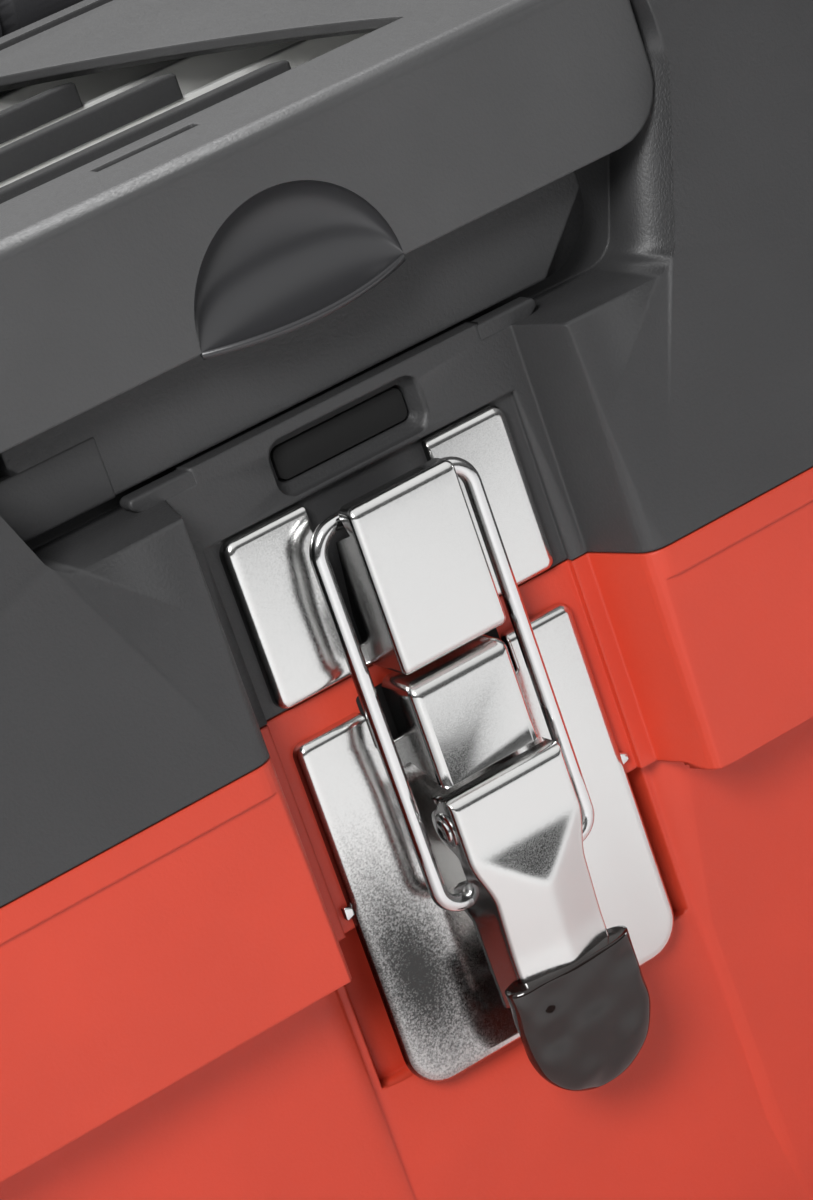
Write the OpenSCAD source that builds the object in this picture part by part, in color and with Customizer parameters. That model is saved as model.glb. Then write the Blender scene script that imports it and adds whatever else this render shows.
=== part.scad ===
// Cantilever tool box: moulded base and lid, two trays on steel arms,
// an organiser under a snap cover and an over-centre wire latch.
// The front faces -Y, the floor is z = 0, and sizes are in millimetres.

/* [Case] */
// Length of the case over its rim
case_len = 430; // [400:5:520]
// Depth of the case over its rim
case_dep = 240; // [236:1:262]
// Height of the base from the floor to the parting line
base_h = 128; // [118:1:150]
// Height of the lid above the parting line
lid_h = 86; // [84:1:92]
// Wall thickness of the moulded shells
wall = 3; // [2.6:0.1:3.4]
// Radius of the front corners in plan
corner_r = 26; // [20:1:32]
// Radius of the rear corners in plan
rear_corner_r = 12; // [10:1:13]
// Height of the proud band round the base
band_h = 38; // [37:1:42]
// How far the lower body stands back behind the band
band_step = 14; // [12:0.5:15]
// Inward lean of the lower body over its height
body_lean = 4; // [2:0.5:6]
// Inward lean of the lid walls over their height
lid_lean = 4; // [3:0.5:6]
// Radius of the lid's top edge
lid_edge_r = 10; // [8:1:12]
// Height of the thin bead under the parting line
rim_h = 5; // [3:0.5:7]
// How far the bead stands proud of the band
rim_out = 0.6; // [0.4:0.1:1]

/* [Hinge and arms] */
// Radius of the moulded hinge knuckles
knuckle_r = 8; // [7.5:0.5:9]
// Radius of the steel hinge rod
rod_r = 2.5; // [2:0.1:2.8]
// Distance from the front wall of the trays back to the front arm pins
front_pin_in = 12; // [10:1:16]
// Rise of the arms from the hinge to the upper tray pins
arm_rise = 20; // [18:1:22]
// Drop of the arms from the hinge to the lower tray pins
mid_drop = 6; // [4:1:8]
// Distance forward from each rear arm pin to its front arm pin
pair_reach = 60; // [54:1:64]
// Drop from each rear arm pin to its front arm pin
pair_drop = 6; // [4:1:8]
// Width of the steel arm straps
arm_w = 14; // [12:0.5:15]
// Thickness of the steel arm straps
arm_t = 2; // [1.6:0.1:2.2]
// Radius of the arm pins
pin_r = 2.5; // [2:0.1:2.8]

/* [Trays] */
// Height of the upper tray
upper_tray_h = 33; // [28:1:34]
// Height of the lower tray
lower_tray_h = 36; // [30:1:38]
// Rear overhang of the upper tray behind its rear pins
upper_tray_back = 36; // [30:1:37]
// Gap from the hinge line to the rear wall of the lower tray
lower_tray_back = 20; // [18:1:26]
// Wall thickness of the trays
tray_wall = 2; // [1.6:0.1:2.4]
// Thickness of the loose dividers
divider_t = 1.6; // [1.2:0.1:2]

/* [Latch] */
// Depth of the latch channel behind the proud face
latch_recess = 15; // [14.5:0.5:16]
// Width of both latch plates
plate_w = 52.6; // [48:0.2:56]
// Height of the lower plate
plate_h = 62; // [58:1:64]
// Height of the keeper plate
keeper_h = 28.2; // [27:0.2:30]
// Thickness of the latch sheet steel
sheet = 1.2; // [1:0.1:1.4]
// How far the faces of both latch plates stand out from their seats
plate_face = 2.2; // [2:0.1:2.3]
// Width of the keeper's hook panel
hook_w = 19.4; // [17:0.2:20]
// How far the hook panel stands out from the seat
hook_out = 12.8; // [12.2:0.1:13.4]
// Height of the hook panel's lip above the wire's shelf
hook_lip = 4.2; // [3.8:0.1:4.4]
// Radius of the wire of the loop
wire_r = 1.3; // [1.1:0.05:1.35]
// Width of the lever over its cheeks
lever_w = 21.2; // [20.6:0.1:21.6]
// Length of the lever from its pivot to its tip
lever_len = 50; // [46:1:54]
// Distance from the lever's pivot down to the wire holes
wire_drop = 12.9; // [12:0.1:14]
// Thickness of the dipped vinyl on the lever
dip_t = 0.7; // [0.5:0.1:0.9]

/* [Organiser and handle] */
// Width of the snap cover
cover_w = 131; // [118:1:140]
// Height of the cover's front skirt
skirt_h = 27.5; // [26:0.5:30]
// Thickness of the cover
cover_t = 3; // [2.6:0.1:3.2]
// Width of the arched window in the cover
window_w = 80; // [70:1:86]
// Spacing of the organiser's dividers
divider_gap = 26; // [22:0.5:28]
// Length of the carrying handle between its pivots
handle_len = 190; // [170:2:220]
// Reach of the handle from its pivots to its grip
handle_reach = 42; // [38:1:46]
// Radius of the handle's grip
grip_r = 10; // [9:0.5:10.5]

/* [Hidden] */
$fn = 48;
half_len = case_len / 2;
half_dep = case_dep / 2;
part_z = base_h;
top_z = part_z + lid_h;
seam = 0.3;
fit = 0.08;
run_gap = 0.3;
over = 1;
inner_x = half_len - wall;
hinge_y = half_dep - knuckle_r;
latch_y = -half_dep + latch_recess;

// Layers at each end, from the end wall inwards: front arm, rear arm, trays
head_t = 1.3;
head_r = 4.4;
front_arm_x = inner_x - 5.5;
rear_arm_x = front_arm_x - arm_t - 2 * head_t - 3 * run_gap;
tray_x = rear_arm_x - 3.6;
boss_r = 6;
tail_r = knuckle_r - wall - 0.4;

// Channel lips, rounded in plan where they meet the front
channel_half = plate_w / 2 + 2.6;
channel_seat = channel_half + 3;
channel_slope = 3.6;
seat_step = 1.4;
lip_r = 4;

// Trays start behind the organiser's well
recess_y = latch_y + 6;
tray_front = recess_y + wall + 6;
arm_reach = hinge_y - tray_front - pair_reach - front_pin_in;
mid_reach = arm_reach / 2;

// Pivot points as [y, z]
hinge = [hinge_y, part_z];
rear_mid = hinge + [-mid_reach, -mid_drop];
rear_top = hinge + [-arm_reach, arm_rise];
pair = [-pair_reach, -pair_drop];
front_base = hinge + pair;
front_mid = rear_mid + pair;
front_top = rear_top + pair;

// Trays
upper_z0 = part_z + 8;
lower_z0 = part_z + 4 - lower_tray_h;
upper_back = rear_top[0] + upper_tray_back;
lower_back = hinge_y - lower_tray_back;
tray_corner_r = 8;
divider_drop = 5;
lower_divider_x = [-60, 60];
upper_divider_x = [-95, 0, 95];

// Latch channel
keeper_z0 = part_z + 0.6;
keeper_z1 = keeper_z0 + keeper_h;
plate_z1 = part_z - 5.5;
plate_z0 = plate_z1 - plate_h;
pocket_z0 = plate_z0 + 2.5;
pocket_depth = 6;
plate_boss_half = 16;
channel_foot = 2;

// Latch mechanism
pivot_y = latch_y - 9.6;
pivot_z = part_z - 26;
pivot_r = 2;
wire_y = pivot_y + 2.6;
wire_z = pivot_z - wire_drop;
hook_y = latch_y - hook_out;
hook_z0 = part_z + 0.3;
hook_z1 = keeper_z1 - 0.6;
shelf_z = hook_z1 - hook_lip;
bar_z = shelf_z + wire_r + 0.3;
leg_x = lever_w / 2 + 3.6;
wire_bend = leg_x - hook_w / 2 - 0.9;
lever_t = 1.1;
ear_r = 3;
cheek_in = lever_w / 2 - lever_t;
bracket_x = cheek_in - 0.3;
lever_face = pivot_y - 4.4;
lever_z1 = pivot_z + 5.5;
cheek_z0 = wire_z - 4;
tip_z = pivot_z - lever_len;
dip_z = pivot_z - 28;
tip_r = 9.5;
tip_cut = 12;
bow_depth = 7.4;
bow_y = lever_face + bow_depth - 1.6;
bracket_y = latch_y - 11;
guard_z1 = part_z - 2;
guard_z0 = pivot_z + norm([lever_face - pivot_y, lever_z1 - pivot_z]) + 0.35;
press_slot = 3.6;
tab_x = 10;
keeper_tab_x = 19;
tab_w = 6;
pan_r = 1.5;
far = 60;

// Organiser under the snap cover
cover_half = cover_w / 2;
recess_half = cover_half + 1.4;
recess_foot = cover_half - 7.5;
recess_z0 = part_z + 39;
skirt_y = latch_y - 8;
skirt_z0 = top_z - skirt_h;
cover_axis = [latch_y + 122, top_z - 4];
cover_corner_r = 9.5;
cover_edge_r = 3;
cover_pin_r = 1.5;
cover_barrel_r = 3.6;
ledge_z = top_z - 12;
well_half = cover_half - 5;
well_y0 = recess_y + wall + 4.5;
well_y1 = cover_axis[0] - 6;
well_z0 = ledge_z - 7;
step_half = 52.4;
step_z0 = part_z + 42.4;
step_y = latch_y + 1;
low_half = plate_w / 2 + 0.7;
low_z0 = keeper_z1 + 0.6;
relief_half = 12.5;
insert_wall = 1.6;
insert_z1 = top_z - cover_t - 3;
window_y0 = latch_y + 15;
window_rise = 98;
pane_t = 1.2;
pane_lap = 3;
divider_y0 = latch_y + 38.5;
rail_h = 4.4;
rail_t = 1.8;
rail_half = [28, 20.5, 14.5];
rail_z1 = top_z - cover_t - 0.4;
insert_half = well_half - 0.4;
insert_y0 = well_y0 + 0.4;
insert_y1 = well_y1 - 0.4;
scoop_half = 19;
scoop_h = 15.6;
scoop_depth = 4.2;
scoop_r = (scoop_half * scoop_half + scoop_depth * scoop_depth) / (2 * scoop_depth);
scoop_z0 = skirt_z0 + 6;
slot_len = 18;
slot_w = 2.6;
slot_x = -11.3;
slot_y = latch_y + 8.6;

// Carrying handle
handle_axis = [cover_axis[0] + 22, top_z - 3];
handle_half = handle_len / 2;
handle_arm_t = 12;
bay_half = handle_half + 3;
bay_y0 = handle_axis[0] - 11;
bay_y1 = handle_axis[0] + handle_reach + grip_r + 2.5;
bay_z0 = handle_axis[1] - grip_r - 2;
handle_pin_r = 3;

// Hinge knuckles as [centre, length], placed from the arms inwards
mid_knuckle = 70;
base_knuckle_x = rear_arm_x - 56;
base_knuckle_l = 50;
lid_end_x = rear_arm_x - 20;
lid_mid_x0 = mid_knuckle / 2 + 2;
lid_mid_x1 = base_knuckle_x - base_knuckle_l / 2 - 3;
lid_mid_x = (lid_mid_x0 + lid_mid_x1) / 2;
lid_mid_l = lid_mid_x1 - lid_mid_x0;
base_knuckles = [[-base_knuckle_x, base_knuckle_l], [0, mid_knuckle],
    [base_knuckle_x, base_knuckle_l]];
lid_knuckles = [[-lid_end_x, 20], [-lid_mid_x, lid_mid_l], [lid_mid_x, lid_mid_l],
    [lid_end_x, 20]];
knuckle_relief = knuckle_r + 0.9;
ear_len = 22;
strap_taper = 18;

// ---- Shapes that repeat ----

function arc(cx, cy, r, a0, a1, n = 6) =
    [for (i = [0:n]) [cx + r * cos(a0 + (a1 - a0) * i / n), cy + r * sin(a0 + (a1 - a0) * i / n)]];

// Outline in plan with a front radius rf and a rear radius rb
function slab(hx, y0, y1, rf, rb) = concat(
    arc(hx - rb, y1 - rb, rb, 0, 90), arc(-hx + rb, y1 - rb, rb, 90, 180),
    arc(-hx + rf, y0 + rf, rf, 180, 270), arc(hx - rf, y0 + rf, rf, 270, 360));

// A thin level slice of the case, set in from the rim
module slice(z, inset) {
    rf = max(corner_r - inset, 4);
    rb = max(rear_corner_r - inset, 3);
    translate([0, 0, z])
        linear_extrude(0.01)
            polygon(slab(half_len - inset, -half_dep + inset, half_dep - inset, rf, rb));
}

module block(hx, y0, y1, z0, z1, r) {
    translate([0, 0, z0]) linear_extrude(z1 - z0) polygon(slab(hx, y0, y1, r, r));
}

// A profile drawn in [y, z] that runs along X
module along_x(x0, x1) {
    translate([x0, 0, 0]) rotate([90, 0, 90]) linear_extrude(x1 - x0) children();
}

// An outline drawn in [x, z] that runs along Y
module along_y(y0, y1) {
    translate([0, y1, 0]) rotate([90, 0, 0]) linear_extrude(y1 - y0) children();
}

module rod(p, x0, x1, r) {
    along_x(x0, x1) translate(p) circle(r);
}

module both_ends() {
    children();
    mirror([1, 0, 0]) children();
}

// ---- Latch channel, shared by base and lid ----

// Both sides slope out to a lip that is rounded in plan
module channel_cut(z0, z1, grow) {
    side_a = atan2(channel_slope, latch_recess - seat_step);
    lip_x = channel_seat + channel_slope + lip_r * tan((90 - side_a) / 2);
    lip = arc(lip_x, -half_dep + lip_r, lip_r - grow, 180 + side_a, 270, 5);
    half = concat([[channel_seat + grow, latch_y - seat_step + grow]], lip,
        [[lip_x, -half_dep - over]]);
    translate([0, 0, z0]) linear_extrude(z1 - z0)
        polygon(concat(half, [for (i = [len(half) - 1:-1:0]) [-half[i][0], half[i][1]]]));
}

module seat_cut(z0, z1, grow) {
    translate([-channel_half - grow, latch_y - latch_recess, z0])
        cube([2 * (channel_half + grow), latch_recess + grow, z1 - z0]);
}

// ---- Base ----

module base_outer() {
    hull() {
        slice(0, band_step + body_lean);
        slice(part_z - band_h + 2, band_step);
    }
    hull() {
        slice(part_z - band_h, 1);
        slice(part_z - rim_h, rim_out);
        slice(part_z - seam / 2 - 0.01, rim_out);
    }
    hull() {
        slice(part_z - rim_h, 0);
        slice(part_z - seam / 2 - 0.01, 0);
    }
}

module base_inner() {
    hull() {
        slice(wall, band_step + body_lean + wall);
        slice(part_z - band_h + wall + 0.5, band_step + wall);
    }
    hull() {
        slice(part_z - band_h + wall, wall);
        slice(part_z + over, wall);
    }
}

// Pocket behind the lower plate, rounded at its foot
module plate_pocket(grow) {
    top = part_z - band_h + 1 - pocket_z0 + grow;
    intersection() {
        translate([0, 0, pocket_z0 - grow]) linear_extrude(top)
            polygon([[-channel_half - 6 - grow, latch_y - 8],
                [channel_half + 6 + grow, latch_y - 8],
                [channel_half + grow, latch_y + pocket_depth + grow],
                [-channel_half - grow, latch_y + pocket_depth + grow]]);
        along_y(latch_y - 10, latch_y + pocket_depth + grow)
            translate([0, pocket_z0 - grow])
                polygon(slab(channel_half + 8 + grow, 0, top + far, 10, 2));
    }
}

// Shallow channel that runs down the lower front
module foot_channel(grow) {
    translate([0, 0, -over]) linear_extrude(part_z - band_h + 2 * over)
        polygon([[-channel_half - 8 - grow, latch_y - 6], [channel_half + 8 + grow, latch_y - 6],
            [channel_half + 3 + grow, latch_y + channel_foot + grow],
            [-channel_half - 3 - grow, latch_y + channel_foot + grow]]);
}

module base_hollows() {
    channel_cut(part_z - band_h, part_z + over, 0);
    seat_cut(part_z - band_h, part_z + over, 0);
    difference() {
        union() {
            plate_pocket(0);
            foot_channel(0);
        }
        block(plate_boss_half, latch_y, latch_y + far, plate_z0 + 6, part_z, 2);
    }
}

// A base knuckle with the web that carries it
module base_knuckle(x, len) {
    rod(hinge, x - len / 2, x + len / 2, knuckle_r);
    along_x(x - len / 2, x + len / 2)
        polygon([[hinge_y + knuckle_r - wall, part_z - knuckle_relief - 14],
            [hinge_y + knuckle_r, part_z - knuckle_relief - 14],
            [hinge_y + knuckle_r, part_z], [hinge_y, part_z], [hinge_y - 4, part_z - 6]]);
}

module base_shell() {
    color([0.78, 0.24, 0.19])
    difference() {
        union() {
            difference() {
                union() {
                    difference() {
                        base_outer();
                        base_inner();
                    }
                    intersection() {
                        base_outer();
                        union() {
                            channel_cut(part_z - band_h - wall, part_z + over, wall);
                            seat_cut(part_z - band_h - wall, part_z + over, wall);
                            plate_pocket(wall);
                            foot_channel(wall);
                        }
                    }
                }
                base_hollows();
                // Relief behind the hinge line, so that the lid can turn down
                translate([-half_len - over, hinge_y - knuckle_relief, part_z - knuckle_relief])
                    cube([2 * (half_len + over), 2 * knuckle_relief + over, 2 * knuckle_relief]);
            }
            for (k = base_knuckles)
                base_knuckle(k[0], k[1]);
            both_ends()
                rod(front_base, front_arm_x + arm_t + run_gap, inner_x + over, boss_r);
        }
        rod(hinge, -half_len, half_len, rod_r + fit);
        both_ends()
            rod(front_base, front_arm_x, half_len - 1.5, pin_r + fit);
        both_ends()
            translate([tab_x - tab_w / 2 - 0.2, latch_y - over, plate_z0 + 20])
                cube([tab_w + 0.4, pocket_depth + wall + 3, sheet + 0.4]);
        // Shallow panel under the floor, which leaves a rim to stand on
        translate([0, 0, -over])
            block(half_len - band_step - body_lean - 14, -half_dep + band_step + body_lean + 14,
                half_dep - band_step - body_lean - 14, 0, over + 1.2, 10);
    }
}

// ---- Lid ----

module lid_outer() {
    hull() {
        slice(part_z + seam / 2, 0);
        for (a = [0:18:90])
            slice(top_z - lid_edge_r * (1 - sin(a)) - 0.01, lid_lean + lid_edge_r * (1 - cos(a)));
    }
}

module lid_inner() {
    inner_r = lid_edge_r - wall;
    hull() {
        slice(part_z - over, wall);
        slice(part_z + seam, wall);
        for (a = [0:30:90])
            slice(top_z - wall - inner_r * (1 - sin(a)) - 0.01,
                wall + lid_lean + inner_r * (1 - cos(a)));
    }
}

// Recess round the cover: an open front, a ledge and the organiser's well
module cover_recess(grow) {
    // Front opening, narrower at its foot, with rounded lower corners
    half = concat(arc(recess_foot - 6, recess_z0 + 6, 6 + grow, 270, 345),
        [[recess_half + grow, skirt_z0 + cover_corner_r], [recess_half + grow, top_z + over]]);
    along_y(-half_dep - over, recess_y + grow)
        polygon(concat(half, [for (i = [len(half) - 1:-1:0]) [-half[i][0], half[i][1]]]));
    block(recess_half + grow, -half_dep, cover_axis[0] + 5.5 + grow, ledge_z - grow, top_z + over, 1);
    block(well_half + grow, well_y0 - grow, well_y1 + grow, well_z0 - grow, top_z + over, 4);
}

module handle_bay(grow) {
    block(bay_half + grow, bay_y0 - grow, bay_y1 + grow, bay_z0 - grow, top_z + over, 4);
}

// Bosses in the lid's end walls for the upper pins
module lid_lug() {
    rod(rear_top, rear_arm_x + arm_t + run_gap, inner_x, boss_r);
}

module lid_shell() {
    color([0.24, 0.24, 0.25])
    difference() {
        union() {
            difference() {
                union() {
                    difference() {
                        lid_outer();
                        lid_inner();
                    }
                    intersection() {
                        lid_outer();
                        union() {
                            channel_cut(part_z, recess_z0 + wall, wall);
                            seat_cut(part_z, low_z0, wall);
                            cover_recess(wall);
                            handle_bay(wall);
                        }
                    }
                }
                channel_cut(part_z - over, recess_z0 + over, 0);
                seat_cut(part_z - over, low_z0, 0);
                cover_recess(0);
                handle_bay(0);
                // Notches over the base's knuckles
                for (k = base_knuckles)
                    translate([k[0] - k[1] / 2 - 0.5, hinge_y - knuckle_relief, part_z - over])
                        cube([k[1] + 1, 2 * knuckle_relief, knuckle_relief + over]);
            }
            for (k = lid_knuckles)
                rod(hinge, k[0] - k[1] / 2, k[0] + k[1] / 2, knuckle_r);
            // Ears that close the rear corners and follow the rim
            both_ends() intersection() {
                rod(hinge, half_len - ear_len, half_len, knuckle_r);
                translate([0, 0, part_z - 2 * knuckle_r]) linear_extrude(4 * knuckle_r)
                    difference() {
                        polygon(slab(half_len, -half_dep, half_dep, corner_r, rear_corner_r));
                        polygon(slab(inner_x, -half_dep + wall, half_dep - wall,
                            corner_r - wall, rear_corner_r - wall));
                    }
            }
            both_ends() intersection() {
                lid_lug();
                lid_outer();
            }
            // Stepped front of the organiser's well, hollow from behind
            difference() {
                along_y(step_y, recess_y + wall) translate([0, step_z0])
                    polygon(slab(step_half, 0, ledge_z - step_z0, 11, 2));
                along_y(step_y + wall, recess_y + wall + over) translate([0, step_z0 + wall])
                    polygon(slab(step_half - wall, 0, ledge_z - step_z0 - 2 * wall, 9, 1));
            }
            block(low_half, latch_y - seat_step, recess_y + 1, low_z0, step_z0 - 0.8, 1);
        }
        // Stepped relief above the hook, where the wire's bar swings over
        along_y(latch_y - 4, latch_y + 1.2)
            translate([0, low_z0 + 0.8]) polygon(slab(relief_half + 1.6, 0, 9.4, 3, 3));
        along_y(latch_y, latch_y + 5)
            translate([0, low_z0 + 2.4]) polygon(slab(relief_half, 0, 6.2, 1.6, 1.6));
        rod(hinge, -half_len - over, half_len + over, rod_r + fit);
        both_ends() {
            rod(rear_top, rear_arm_x, half_len - 2.5, pin_r + fit);
            rod(cover_axis, recess_half - over, recess_half + 2.2, cover_pin_r + fit);
            rod(handle_axis, bay_half - over, bay_half + 2.2, handle_pin_r + fit);
            for (z = [keeper_z0 + 6, keeper_z0 + 20])
                translate([keeper_tab_x - tab_w / 2 - 0.2, latch_y - 3, z - 0.2])
                    cube([tab_w + 0.4, wall + 5, sheet + 0.4]);
        }
    }
}

module hinge_rod() {
    color([0.72, 0.73, 0.75])
    rod(hinge, -half_len + 1, half_len - 1, rod_r);
}

// ---- Arms ----

// A cranked strap with a hole at each of its three pivots
module strap(p0, p1, p2, end_r, x) {
    color([0.66, 0.67, 0.69])
    difference() {
        union() {
            strap_bar(p0, p1, end_r, x);
            strap_bar(p2, p1, arm_w / 2, x);
        }
        for (p = [p0, p1, p2])
            rod(p, x - over, x + arm_t + over, pin_r + fit);
    }
}

// A straight bar from a to b, with an end of radius ra at a
module strap_bar(a, b, ra, x) {
    d = b - a;
    along_x(x, x + arm_t)
        translate(a) rotate(atan2(d[1], d[0])) {
            circle(ra);
            polygon([[0, -ra], [strap_taper, -arm_w / 2], [norm(d), -arm_w / 2],
                [norm(d), arm_w / 2], [strap_taper, arm_w / 2], [0, ra]]);
            translate([norm(d), 0]) circle(arm_w / 2);
        }
}

module rear_arm() {
    strap(hinge, rear_mid, rear_top, tail_r, rear_arm_x);
}

module front_arm() {
    strap(front_base, front_mid, front_top, arm_w / 2, front_arm_x);
}

module rear_arm_right() {
    rear_arm();
}

module rear_arm_left() {
    mirror([1, 0, 0]) rear_arm();
}

module front_arm_right() {
    front_arm();
}

module front_arm_left() {
    mirror([1, 0, 0]) front_arm();
}

module steel_pin(p, x0, x1, head_x) {
    color([0.72, 0.73, 0.75]) {
        rod(p, x0, x1, pin_r);
        rod(p, head_x, head_x + head_t, head_r);
    }
}

module base_arm_pins() {
    x = front_arm_x - run_gap;
    both_ends() steel_pin(front_base, x, half_len - 1.8, x - head_t);
}

module lid_arm_pins() {
    x = tray_x - tray_wall - run_gap;
    both_ends() steel_pin(rear_top, x, half_len - 3.2, x - head_t);
}

// ---- Trays ----

module tray_body(y0, y1, z0, h) {
    difference() {
        block(tray_x, y0, y1, z0, z0 + h, tray_corner_r);
        block(tray_x - tray_wall, y0 + tray_wall, y1 - tray_wall, z0 + tray_wall, z0 + h + over,
            tray_corner_r - tray_wall);
    }
}

// Upright guide ribs on both long walls, either side of each divider
module guides(xs, y0, y1, z0, h) {
    for (x = xs, s = [-1, 1], w = [y0 + tray_wall - 0.2, y1 - tray_wall - 1.8])
        translate([x + s * (divider_t / 2 + 0.9) - 0.7, w, z0 + tray_wall - 0.2])
            cube([1.4, 2, h - tray_wall - divider_drop]);
}

module tray_pivot(p, x_end) {
    rod(p, tray_x - 0.5, x_end - run_gap, boss_r);
}

module lower_tray() {
    color([0.24, 0.24, 0.25])
    difference() {
        union() {
            tray_body(tray_front, lower_back, lower_z0, lower_tray_h);
            guides(lower_divider_x, tray_front, lower_back, lower_z0, lower_tray_h);
            both_ends() {
                tray_pivot(rear_mid, rear_arm_x);
                tray_pivot(front_mid, front_arm_x);
            }
        }
        both_ends() {
            rod(rear_mid, tray_x - 5, front_arm_x, pin_r + fit);
            rod(front_mid, tray_x - 5, front_arm_x, pin_r + fit);
        }
    }
}

module upper_tray() {
    color([0.24, 0.24, 0.25])
    difference() {
        union() {
            tray_body(tray_front, upper_back, upper_z0, upper_tray_h);
            guides(upper_divider_x, tray_front, upper_back, upper_z0, upper_tray_h);
            both_ends() {
                tray_pivot(rear_top, rear_arm_x);
                tray_pivot(front_top, front_arm_x);
            }
        }
        both_ends() {
            rod(rear_top, tray_x - 5, front_arm_x, pin_r + fit);
            rod(front_top, tray_x - 5, front_arm_x, pin_r + fit);
        }
    }
}

// Pins held in the tray's bosses, with their heads outside the arms
module lower_tray_pins() {
    x0 = tray_x - tray_wall - 0.6;
    both_ends() {
        steel_pin(rear_mid, x0, rear_arm_x + arm_t + run_gap, rear_arm_x + arm_t + run_gap);
        steel_pin(front_mid, x0, front_arm_x + arm_t + run_gap, front_arm_x + arm_t + run_gap);
    }
}

module upper_tray_pins() {
    x0 = tray_x - tray_wall - 0.6;
    both_ends()
        steel_pin(front_top, x0, front_arm_x + arm_t + run_gap, front_arm_x + arm_t + run_gap);
}

module loose_dividers(xs, y0, y1, z0, h) {
    color([0.55, 0.56, 0.57])
    for (x = xs)
        translate([x - divider_t / 2, y0 + tray_wall + run_gap, z0 + tray_wall + 0.1])
            cube([divider_t, y1 - y0 - 2 * (tray_wall + run_gap), h - tray_wall - divider_drop]);
}

module lower_tray_dividers() {
    loose_dividers(lower_divider_x, tray_front, lower_back, lower_z0, lower_tray_h);
}

module upper_tray_dividers() {
    loose_dividers(upper_divider_x, tray_front, upper_back, upper_z0, upper_tray_h);
}

// ---- Organiser ----

module organiser_tray() {
    color([0.93, 0.93, 0.91]) {
        difference() {
            block(insert_half, insert_y0, insert_y1, well_z0 + 0.1, insert_z1, 3.6);
            block(insert_half - insert_wall, insert_y0 + insert_wall, insert_y1 - insert_wall,
                well_z0 + insert_wall, top_z, 2);
        }
        // Partitions, each of which carries a dark rail
        for (i = [0:len(rail_half) - 1])
            translate([-insert_half + 1, divider_y0 + i * divider_gap - rail_t / 2, well_z0 + 0.5])
                cube([2 * insert_half - 2, rail_t, rail_z1 - rail_h - well_z0 - 0.6]);
    }
}

// Rails on the partitions, shorter towards the top of the arched window
module organiser_dividers() {
    color([0.24, 0.24, 0.25])
    for (i = [0:len(rail_half) - 1])
        translate([0, divider_y0 + i * divider_gap, 0])
            along_y(-rail_t / 2, rail_t / 2)
                translate([0, rail_z1 - rail_h])
                    polygon(slab(rail_half[i], 0, rail_h, 0.4, 2));
}

// Arched window outline: a straight front edge under a steep arch
function arch_end(v) = sign(v) * pow(abs(v), 1.6);
function arch(grow, n = 32) = concat(
    [[-window_w / 2 - grow, window_y0 - grow], [window_w / 2 + grow, window_y0 - grow]],
    [for (i = [1:n - 1]) let (t = 180 * i / n)
        [(window_w / 2 + grow) * arch_end(cos(t)),
            window_y0 + (window_rise + grow) * arch_end(sin(t))]]);

module organiser_cover() {
    color([0.27, 0.27, 0.28])
    difference() {
        union() {
            // Top plate and skirt in one bent section, with round lower corners
            intersection() {
                along_x(-cover_half, cover_half)
                    polygon(concat([[skirt_y + cover_t, skirt_z0], [skirt_y, skirt_z0]],
                        arc(skirt_y + cover_edge_r, top_z - cover_edge_r, cover_edge_r, 180, 90),
                        [[cover_axis[0], top_z], [cover_axis[0], top_z - cover_t],
                            [skirt_y + cover_t, top_z - cover_t]]));
                along_y(skirt_y - over, cover_axis[0] + over)
                    translate([0, skirt_z0]) polygon(slab(cover_half, 0, skirt_h,
                        cover_corner_r, cover_edge_r));
            }
            both_ends()
                translate([cover_half - cover_t, skirt_y + cover_edge_r, top_z - 9])
                    cube([cover_t, cover_axis[0] - skirt_y - cover_edge_r, 9 - cover_edge_r]);
            along_y(skirt_y + cover_t - over, step_y - 0.5)
                translate([0, scoop_z0 - 3]) polygon(slab(scoop_half + 3, 0, 21, 3, 3));
            rod(cover_axis, -cover_half, cover_half, cover_barrel_r);
            // Lip under the thumb scoop
            along_x(-scoop_half + 2, scoop_half - 2) translate([skirt_y, scoop_z0 - 0.8])
                circle(1.2, $fn = 24);
            // Snap tongue under the slot
            translate([slot_x - slot_len / 2 + 3, well_y0 - 3, ledge_z + 0.6])
                cube([slot_len - 6, 1.6, top_z - ledge_z - 2]);
        }
        translate([0, 0, top_z - cover_t - over]) linear_extrude(cover_t + 2 * over)
            polygon(arch(0));
        translate([0, 0, top_z - cover_t - over]) linear_extrude(over + pane_t + 0.2)
            polygon(arch(pane_lap));
        translate([slot_x - slot_len / 2, slot_y - slot_w / 2, top_z - cover_t - over])
            cube([slot_len, slot_w, cover_t + 2 * over]);
        // Thumb scoop, round above and flat below
        intersection() {
            translate([0, skirt_y + scoop_depth - scoop_r, scoop_z0 + scoop_h - scoop_half])
                sphere(scoop_r, $fn = 120);
            translate([-scoop_half, skirt_y - over, scoop_z0])
                cube([2 * scoop_half, scoop_depth + 2 * over, scoop_half + 2]);
        }
        rod(cover_axis, -cover_half - over, cover_half + over, cover_pin_r + fit);
    }
}

module cover_window() {
    color([0.88, 0.93, 0.95, 0.5])
    translate([0, 0, top_z - cover_t + 0.1]) linear_extrude(pane_t)
        polygon(arch(pane_lap - 0.2));
}

module cover_hinge_pin() {
    color([0.72, 0.73, 0.75])
    rod(cover_axis, -recess_half - 2, recess_half + 2, cover_pin_r);
}

// ---- Handle ----

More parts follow.
